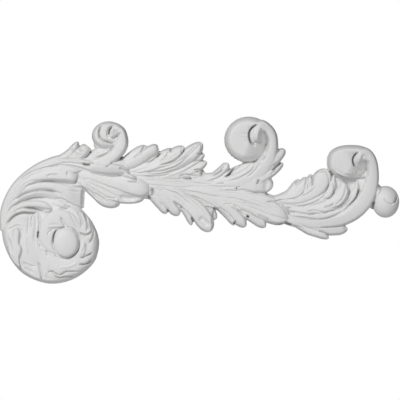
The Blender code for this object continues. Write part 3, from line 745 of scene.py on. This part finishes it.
UPPER_LEAF_LINES = [
    ([(147.4, 155.4), (144.4, 152), (142, 149), (141, 147), (137, 144), (133.4, 141.4)], 1.4, 0.12),
    ([(145.6, 154.6), (143.6, 151.8), (142, 149.4)], 1.5, 0.14),
    ([(158.8, 147), (157, 143.5), (154, 140.5), (150, 138), (146, 137.2)], 1.5, 0.13),
    ([(161, 146.6), (158.8, 144.6), (156.2, 142.2)], 1.5, 0.28),
    ([(157.6, 153), (158, 149), (157, 146)], 1.5, 0.10),
    ([(170.6, 151.6), (171, 149.6), (170, 148)], 1.8, 0.26),
    ([(169, 148), (167, 145), (165, 142)], 1.1, 0.06),
    ([(185, 151), (183.5, 148), (181, 145), (178, 142), (174, 139), (168, 136.8),
      (160, 134.5)], 1.5, 0.14),
    ([(184.6, 150.6), (183.2, 148), (181, 145.2)], 1.6, 0.22),
    ([(181.6, 153.4), (182, 150), (180, 147)], 1.3, 0.06),
    ([(190, 144), (187, 142), (184, 139), (180, 136), (175, 133), (168, 130.5), (160, 128.6),
      (145, 128)], 1.6, 0.12),
    ([(203, 147), (200, 146.5), (197, 145.5)], 1.5, 0.12),
    ([(203.4, 140), (200, 139.4), (194, 137.4)], 1.3, 0.07),
    ([(204, 131), (201.8, 127.4), (202.4, 123.4)], 2.6, 0.26),
    ([(196, 129), (199.6, 128), (202, 129)], 1.8, 0.08),
    ([(194, 130), (200, 130.4), (204, 130)], 1.3, 0.12),
    ([(165, 127), (175, 129.5), (184, 134), (193, 141)], 3.4, 0.06),
    ([(145, 124), (155, 123.2), (165, 124.5), (172, 127), (178, 129)], 1.5, 0.08),
    ([(201, 157), (201.2, 152), (200, 148)], 1.3, 0.05),
    ([(168, 140), (174, 143.6), (179, 148)], 1.1, 0.04),
    ([(160, 138), (165, 141), (168, 144.6)], 1.1, 0.05),
    ([(186, 145), (192, 150), (196, 155)], 1.1, 0.03),
]
STEM_LINES = [
    ([(204, 125), (200, 123.5), (195, 124), (190, 125), (182, 124.8), (180.5, 123),
      (183, 121.8)], 1.2, 0.09),
    ([(184, 121.5), (190, 121.2), (198, 121.5)], 1.1, 0.06),
    ([(155, 121), (165, 121), (175, 120.5), (182, 119.5), (190, 118), (200, 116.5),
      (220, 116)], 1.4, 0.06),
    ([(185, 113), (200, 113.5), (220, 113), (235, 113)], 1.6, 0.06),
    ([(130, 128), (145, 126.4), (158, 126)], 1.2, 0.04),
    ([(217, 109), (225, 109), (235, 108.5), (243, 107.5), (256, 107.2), (266, 107)], 1.7, 0.09),
    ([(160, 117), (180, 115.6), (200, 114.6)], 1.2, 0.04),
]
LOWER_LEAF_LINES = [
    ([(156, 112.7), (161, 112.5), (166, 110.5), (172, 108), (176, 107), (180, 104), (184, 101), (188, 98),
      (192, 94)], 1.2, 0.08),
    ([(172, 112), (180, 111.5), (187, 109), (195, 108), (205, 105.7), (210, 104.5), (217, 103.7),
      (225, 102.7)], 1.2, 0.08),
    ([(225, 102.7), (233, 101.5), (240, 100), (248, 98), (255, 95.5), (262, 92.5),
      (270, 88.5)], 1.2, 0.08),
    ([(183, 106), (190, 104), (197, 102), (203, 99), (208, 96.5), (213, 94), (216, 92)], 1.7, 0.12),
    ([(160, 98), (165, 93), (168, 90), (168.5, 87)], 1.5, 0.08),
    ([(167.4, 90.6), (168.6, 88.4)], 1.5, 0.24),
    ([(174, 98), (178, 95.4), (181, 93.6)], 1.3, 0.06),
    ([(180.4, 94), (181.8, 92.4), (181.6, 90.6)], 1.5, 0.16),
    ([(191.4, 83), (193, 80), (194, 78)], 1.7, 0.24),
    ([(199, 82), (205, 78), (208, 74)], 4.4, 0.11),
    ([(215.6, 92), (213.6, 88), (212, 79), (213, 74), (210.5, 69)], 1.6, 0.14),
    ([(240, 98), (250, 95.5), (258, 93), (265, 89.5), (271, 86.5)], 1.1, 0.06),
    ([(224, 96), (228, 95.5), (232, 96)], 1.4, 0.06),
    ([(233, 95), (240, 91), (245, 87)], 1.4, 0.07),
    ([(222, 91), (227, 87), (231, 83), (233, 79)], 1.4, 0.09),
    ([(232, 93), (238, 89), (243, 86), (247, 83.6)], 1.4, 0.08),
    ([(246.6, 84.6), (248.8, 82.4)], 1.8, 0.32),
    ([(213, 92.6), (215.4, 90.6), (216.2, 87)], 1.9, 0.34),
    ([(266, 76.6), (275, 75.8), (284, 77.2)], 1.2, 0.28),
    ([(284, 78), (288, 76.6), (291.6, 75)], 1.7, 0.40),
    ([(258, 85), (264, 81.4), (270, 79.4)], 3.4, 0.09),
    ([(276, 97), (281, 93.6), (285, 89), (287.6, 84), (289, 79)], 1.6, 0.16),
    ([(236, 79), (234.6, 77.4), (233.6, 75.6)], 1.8, 0.24),
    ([(160, 106), (168, 101), (174, 95)], 1.1, 0.04),
    ([(172, 104), (182, 97), (188, 88)], 1.1, 0.05),
    ([(184, 104), (194, 97), (200, 90)], 1.3, 0.05),
    ([(210, 98), (220, 92), (226, 84)], 1.1, 0.04),
    ([(248, 92), (256, 86), (262, 79)], 1.2, 0.05),
    ([(266, 97.6), (270, 98.4), (275, 98.5), (280, 100), (284, 100)], 1.4, 0.10),
]
MIDDLE_LINES = [
    ([(221, 135.4), (222.4, 133), (221.6, 129.6), (219, 127.4), (215, 125), (212, 124)], 1.5, 0.14),
    ([(240, 135), (236, 132.6), (232.4, 129.8), (229.4, 125.8), (225, 123.2)], 2.0, 0.40),
    ([(236, 111.7), (237, 111.4)], 1.9, 0.18),
    ([(237, 112), (240, 113.5)], 1.2, 0.06),
    ([(258, 120.4), (258, 118), (256.4, 116)], 1.7, 0.16),
    ([(253.5, 136), (254, 134), (252, 130.5), (248, 127), (243, 124), (237, 121),
      (228, 118.5)], 1.5, 0.09),
    ([(261, 138), (257, 132), (252, 126), (247, 123)], 1.6, 0.06),
    ([(281.4, 137.2), (276, 133), (271.6, 129.2)], 1.6, 0.22),
    ([(277, 131), (273, 127.6), (270, 125)], 1.1, 0.06),
    ([(277, 151.6), (279.6, 152.2), (284, 151.4)], 2.1, 0.28),
    ([(276, 146), (279, 148.6), (282, 149.6)], 1.2, 0.06),
    ([(265, 107), (267, 106), (268.6, 104.6)], 2.0, 0.20),
    ([(268, 120), (271, 119), (273.4, 116)], 1.4, 0.07),
    ([(267, 119), (265.6, 113), (266, 108.6)], 4.2, 0.06),
    ([(240, 128), (246, 131), (250, 135)], 1.2, 0.05),
    ([(226, 121), (234, 124.6), (242, 127.6)], 1.2, 0.04),
]
RIGHT_LEAF_LINES = [
    ([(299.4, 121.4), (298, 120), (296.4, 117.4), (296, 115)], 1.7, 0.18),
    ([(305.4, 124), (305.4, 118), (304.4, 111), (302, 106.4), (299, 103.6), (292, 101.2),
      (284, 100.4)], 1.3, 0.08),
    ([(308, 120), (307.4, 116), (308, 111)], 1.1, 0.06),
    ([(309.4, 125), (311.8, 122), (312.4, 117), (311.6, 113)], 1.6, 0.16),
    ([(315, 113.4), (312, 110), (306, 105.4), (300, 103), (292, 101)], 1.3, 0.07),
    ([(322.4, 102), (319, 100), (314, 97.6), (308, 95.4), (302, 94), (294, 93.6)], 1.3, 0.09),
    ([(313, 97.6), (306, 95), (296, 93.6), (288, 94.4)], 1.2, 0.06),
    ([(328.4, 128.8), (331.2, 126.6), (332, 124)], 1.5, 0.12),
    ([(316, 128.6), (320, 128), (325, 127.4), (328, 122), (328, 116), (326, 110), (322, 103),
      (314, 98.6)], 1.3, 0.09),
    ([(331.6, 118), (333.4, 112), (333, 107), (330.4, 103), (326, 101), (321, 100.6)], 1.5, 0.09),
    ([(336, 118), (341, 119), (345.6, 117), (348.6, 112), (348.8, 106), (346.6, 101), (342, 96), (336, 93),
      (329, 91)], 1.6, 0.09),
    ([(345, 115), (344.6, 108), (341, 100), (334, 95)], 2.2, 0.06),
    ([(357.8, 112), (357, 107), (355.4, 102.6), (352, 98), (348, 94), (343, 89.5)], 1.5, 0.16),
    ([(357.6, 111.6), (357.2, 108), (356, 104.6)], 1.5, 0.24),
    ([(343, 89.5), (337, 86), (330, 83), (322, 81), (312, 81), (303, 82.5), (295, 83.5),
      (289, 85.4)], 1.6, 0.14),
    ([(352, 105), (348, 99), (342, 93), (334, 89)], 1.2, 0.07),
    ([(307, 88), (313, 89.5), (318, 88.5), (324, 87.5), (328.6, 89.4)], 1.5, 0.09),
    ([(308, 85), (313, 86.4), (317, 86.4)], 1.2, 0.06),
    ([(324, 93), (329, 94), (333, 97)], 1.4, 0.10),
    ([(283, 97), (290, 95), (298, 94), (306, 94.4)], 1.1, 0.05),
    ([(320, 72.5), (330, 73), (337, 73.5), (345, 74.4)], 1.4, 0.12),
    ([(328.6, 64.4), (325, 67), (318, 69)], 1.4, 0.12),
    ([(343, 72.4), (346, 69), (346.4, 66)], 1.3, 0.07),
    ([(298, 77), (308, 72), (318, 68)], 1.2, 0.04),
    ([(330, 83), (342, 88), (352, 97), (359, 108)], 2.6, 0.04),
]
VOLUTE_LINES = [
    ([(257, 174.8), (252.5, 172.5), (249.6, 169), (248.6, 165), (249.2, 160), (251.2, 156),
      (254.5, 153.8)], 1.7, 0.36),
    ([(252.6, 155.4), (255.4, 157.2), (258.6, 157.8), (260.6, 160)], 1.6, 0.06),
    ([(252, 177.4), (256.6, 178.4), (262, 176.6), (266.4, 172.6)], 1.1, 0.03),
    ([(262.4, 169), (265.6, 165.4), (267.4, 160), (267.2, 156.6), (265, 154), (265.2, 150.4)], 1.5, 0.10),
    ([(265.2, 150.4), (266.8, 147.6), (265.6, 143.6), (262.4, 139.8), (256, 138.4)], 1.5, 0.10),
    ([(367.6, 139), (367.2, 135.6), (366.4, 130.6), (366.6, 126), (365.4, 122.8), (358, 122)], 1.6, 0.15),
    ([(357, 147.5), (353.4, 144.5), (351.6, 140.5), (352.2, 136), (355, 132)], 1.5, 0.30),
    ([(354, 133.6), (357, 130.6), (361, 129)], 1.4, 0.08),
    ([(330, 130), (336, 126), (344, 122.6), (350, 121.8), (356, 122.4)], 1.3, 0.06),
    ([(334, 131.6), (340, 127), (347, 124.8), (352, 125)], 1.2, 0.05),
    ([(351, 128), (354, 125.4), (357, 127.6), (354.6, 129.6)], 1.2, 0.03),
    ([(332, 128.6), (339, 124.6), (346, 122.4), (353, 122)], 2.0, -0.05),
    ([(228.6, 148), (234.6, 143), (242, 139.8), (249, 139)], 2.4, -0.05),
    ([(103, 175), (100.4, 171), (99.6, 166.5), (100.6, 162), (104, 159), (109, 157.6),
      (114, 156)], 1.5, 0.20),
    ([(114.4, 173.6), (110.6, 171.6), (108.6, 168), (108.6, 164), (110.4, 161)], 1.9, 0.16),
    ([(113, 172.4), (110.8, 170.8), (109.6, 168), (109.8, 164.2)], 1.4, 0.36),
    ([(114.6, 154.4), (112.6, 151), (109, 147.6), (103.5, 144.6), (96, 142)], 1.8, 0.22),
    ([(121.4, 166.6), (117, 163.4), (112.4, 161)], 2.6, 0.18),
]
BALL_LINES = [
    ([(395.4, 104), (395, 100), (392.6, 97.4)], 1.7, 0.20),
    ([(383, 102), (385, 98), (389, 96), (393, 96.6)], 1.3, 0.09),
    ([(380.4, 112.8), (376.6, 108.4), (374.4, 102.6), (373.6, 97)], 1.3, 0.04),
    ([(374, 98.6), (372.4, 95), (372.6, 91)], 2.0, 0.60),
]
LINES = (
    GREAT_SCROLL_LINES + SHEATH_LINES + UPPER_LEAF_LINES + STEM_LINES + LOWER_LEAF_LINES
    + MIDDLE_LINES + RIGHT_LEAF_LINES + VOLUTE_LINES + BALL_LINES
)


def gathered(shells):
    """One mesh of all the shells, which still pass through each other."""
    whole = bmesh.new()
    piece = bpy.data.meshes.new("piece")
    for shell in shells:
        shell.to_mesh(piece)
        shell.free()
        whole.from_mesh(piece)
    bpy.data.meshes.remove(piece)
    mesh = bpy.data.meshes.new("carved_onlay")
    whole.to_mesh(mesh)
    whole.free()
    return mesh


def settled(piece):
    """Puts the piece's modifiers into its mesh."""
    graph = bpy.context.evaluated_depsgraph_get()
    mesh = bpy.data.meshes.new_from_object(piece.evaluated_get(graph))
    piece.modifiers.clear()
    old = piece.data
    piece.data = mesh
    bpy.data.meshes.remove(old)
    mesh.name = "carved_onlay"


def one_skin(piece):
    """Grows the forms together into one skin and takes the steps off it."""
    skin = piece.modifiers.new("one_skin", "REMESH")
    skin.mode = "VOXEL"
    skin.voxel_size = GRAIN
    soften = piece.modifiers.new("soften", "SMOOTH")
    soften.factor = SOFTEN_SHARE
    soften.iterations = SOFTEN_PASSES
    settled(piece)


def places_in(mesh):
    """The places of the mesh's points, one in a row."""
    places = np.empty(len(mesh.vertices) * 3, np.float32)
    mesh.vertices.foreach_get("co", places)
    return places.reshape(-1, 3).astype(float)


def move_to(mesh, places):
    """Puts the mesh's points at the places."""
    mesh.vertices.foreach_set("co", places.astype(np.float32).ravel())


def engrave(mesh, lines):
    """Presses each line into the front as a groove, or lifts it as a rib, with ends that run out."""
    places = places_in(mesh)
    u = places[:, 0] / SQUARE + ORIGIN_U
    v = places[:, 2] / SQUARE + ORIGIN_V
    skin = places[:, 1]
    front = np.flatnonzero(skin < -CARVED_FROM * PROJECTION)
    sunk = np.zeros(len(places))
    shares = np.linspace(0, 1, STATIONS)
    for points, half, depth in lines:
        line = smooth_line(points, shares)
        near = front[
            (u[front] > line[:, 0].min() - half) & (u[front] < line[:, 0].max() + half)
            & (v[front] > line[:, 1].min() - half) & (v[front] < line[:, 1].max() + half)
        ]
        away = np.hypot(u[near, None] - line[:, 0], v[near, None] - line[:, 1])
        closest = away.argmin(axis=1)
        t = shares[closest]
        fade = np.clip(np.minimum(t, 1 - t) / RUN_OUT, 0, 1)
        fade = END_DEPTH + (1 - END_DEPTH) * fade * (2 - fade)
        away = away.min(axis=1) / (half * (END_WIDTH + (1 - END_WIDTH) * fade))
        groove = np.where(away < 1, np.cos(away * math.pi / 2) ** 2, 0)
        change = depth * fade * groove
        sunk[near] = np.where(np.abs(change) > np.abs(sunk[near]), change, sunk[near])
    places[:, 1] = np.minimum(skin + sunk * PROJECTION, np.maximum(skin, -LEAST_LEFT * PROJECTION))
    move_to(mesh, places)


def flat_back(mesh):
    """Cuts away what lies behind the back plane and closes the cut."""
    skin = bmesh.new()
    skin.from_mesh(mesh)
    everything = skin.verts[:] + skin.edges[:] + skin.faces[:]
    cut = bmesh.ops.bisect_plane(
        skin,
        geom=everything,
        dist=CUT_TOLERANCE,
        plane_co=(0, 0, 0),
        plane_no=(0, 1, 0),
        clear_outer=True,
    )
    rim = [edge for edge in cut["geom_cut"] if isinstance(edge, bmesh.types.BMEdge)]
    bmesh.ops.triangle_fill(skin, use_beauty=True, edges=rim, normal=(0, 1, 0))
    skin.to_mesh(mesh)
    skin.free()


def thinned(piece):
    """Fewer triangles where the skin is smooth."""
    count = sum(len(face.vertices) - 2 for face in piece.data.polygons)
    thin = piece.modifiers.new("thin_out", "DECIMATE")
    thin.ratio = min(1, MOST_TRIANGLES / count)
    settled(piece)


def kept_in_box(mesh, node):
    """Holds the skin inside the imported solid's box."""
    low, high = (np.array(corner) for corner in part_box(node))
    move_to(mesh, np.clip(places_in(mesh), low, high))


def primer():
    """White factory primer on cast urethane: matt, a little uneven, with a fine sprayed grain."""
    material = bpy.data.materials.new("primed_urethane")
    material.use_nodes = True
    tree = material.node_tree
    shader = tree.nodes["Principled BSDF"]
    shader.inputs["Metallic"].default_value = 0.0
    where = tree.nodes.new("ShaderNodeTexCoord")

    cloud = tree.nodes.new("ShaderNodeTexNoise")
    cloud.inputs["Scale"].default_value = CLOUD_SCALE
    cloud.inputs["Detail"].default_value = CLOUD_DETAIL
    tree.links.new(where.outputs["Object"], cloud.inputs["Vector"])

    tint = tree.nodes.new("ShaderNodeValToRGB")
    tint.color_ramp.elements[0].position = SHADE_BELOW
    tint.color_ramp.elements[0].color = PRIMER_SHADE
    tint.color_ramp.elements[1].position = COLOUR_ABOVE
    tint.color_ramp.elements[1].color = PRIMER_COLOUR
    tree.links.new(cloud.outputs["Fac"], tint.inputs["Fac"])
    tree.links.new(tint.outputs["Color"], shader.inputs["Base Color"])

    gloss = tree.nodes.new("ShaderNodeMapRange")
    gloss.inputs["To Min"].default_value = PRIMER_ROUGHNESS - SMOOTHER_BY
    gloss.inputs["To Max"].default_value = PRIMER_ROUGHNESS + ROUGHER_BY
    tree.links.new(cloud.outputs["Fac"], gloss.inputs["Value"])
    tree.links.new(gloss.outputs["Result"], shader.inputs["Roughness"])

    spray = tree.nodes.new("ShaderNodeTexNoise")
    spray.inputs["Scale"].default_value = SPRAY_SCALE
    spray.inputs["Detail"].default_value = SPRAY_DETAIL
    tree.links.new(where.outputs["Object"], spray.inputs["Vector"])
    relief = tree.nodes.new("ShaderNodeBump")
    relief.inputs["Strength"].default_value = SPRAY_STRENGTH
    relief.inputs["Distance"].default_value = SPRAY_DEPTH
    tree.links.new(spray.outputs["Fac"], relief.inputs["Height"])
    tree.links.new(relief.outputs["Normal"], shader.inputs["Normal"])
    return material


def carved_onlay():
    """The whole casting as one finely carved skin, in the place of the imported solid."""
    groups = (
        ground, stem, sheath, great_scroll, first_volute, lower_left_leaf,
        upper_leaves, lower_leaves, second_volute, right_leaf, third_volute,
    )
    shells = [shell for group in groups for shell in group()]
    piece = bpy.data.objects.new("carved_onlay", gathered(shells))
    bpy.context.scene.collection.objects.link(piece)
    one_skin(piece)
    engrave(piece.data, LINES)
    flat_back(piece.data)
    thinned(piece)
    kept_in_box(piece.data, "scroll_onlay")
    piece.data.shade_smooth()
    piece.data.set_sharp_from_angle(angle=math.radians(SHARP_FROM))
    piece.data.materials.append(primer())
    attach(piece, "root")
    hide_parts("scroll_onlay")


def camera():
    """A long lens square to the front, which frames the sprig as the photograph does."""
    lens = bpy.data.cameras.new("camera")
    lens.sensor_width = SENSOR
    lens.lens = SENSOR * CAMERA_DISTANCE / (VIEW_WIDTH * SQUARE)
    lens.clip_end = CAMERA_REACH
    holder = bpy.data.objects.new("camera", lens)
    x = (VIEW_U - ORIGIN_U) * SQUARE
    z = (VIEW_V - ORIGIN_V) * SQUARE
    holder.location = (x, -CAMERA_DISTANCE, z)
    holder.rotation_euler = (math.pi / 2, 0, 0)
    bpy.context.scene.collection.objects.link(holder)
    bpy.context.scene.camera = holder


def soft_light(name, place_at, size, watts):
    """A square studio light that looks at the middle of the onlay."""
    light = bpy.data.lights.new(name, "AREA")
    light.shape = "SQUARE"
    light.size = size
    light.energy = watts
    holder = bpy.data.objects.new(name, light)
    holder.location = place_at
    holder.rotation_euler = (-Vector(place_at)).to_track_quat("-Z", "Y").to_euler()
    bpy.context.scene.collection.objects.link(holder)


def white_surround():
    """A surround that the camera sees white and that lights the scene only weakly."""
    world = bpy.data.worlds.new("studio")
    bpy.context.scene.world = world
    world.use_nodes = True
    tree = world.node_tree
    ambient = tree.nodes["Background"]
    ambient.inputs["Color"].default_value = WHITE
    ambient.inputs["Strength"].default_value = SURROUND_LIGHT
    seen = tree.nodes.new("ShaderNodeBackground")
    seen.inputs["Color"].default_value = WHITE
    seen.inputs["Strength"].default_value = SURROUND_SEEN
    path = tree.nodes.new("ShaderNodeLightPath")
    either = tree.nodes.new("ShaderNodeMixShader")
    tree.links.new(path.outputs["Is Camera Ray"], either.inputs["Fac"])
    tree.links.new(ambient.outputs["Background"], either.inputs[1])
    tree.links.new(seen.outputs["Background"], either.inputs[2])
    tree.links.new(either.outputs["Shader"], tree.nodes["World Output"].inputs["Surface"])


def pale_floor():
    """A plain matt floor below the onlay."""
    bpy.ops.mesh.primitive_plane_add(size=1, location=FLOOR_CENTRE)
    floor = bpy.context.object
    floor.name = "floor"
    floor.scale = FLOOR_SIZE
    paint = bpy.data.materials.new("pale_floor")
    paint.use_nodes = True
    coat = paint.node_tree.nodes["Principled BSDF"]
    coat.inputs["Base Color"].default_value = FLOOR_COLOUR
    coat.inputs["Roughness"].default_value = FLOOR_ROUGHNESS
    floor.data.materials.append(paint)


def studio():
    """Soft light from the upper left, a light on the back, a white surround and a pale floor."""
    for light in LIGHTS:
        soft_light(*light)
    white_surround()
    pale_floor()
    bpy.context.scene.view_settings.view_transform = "Standard"


carved_onlay()
camera()
studio()
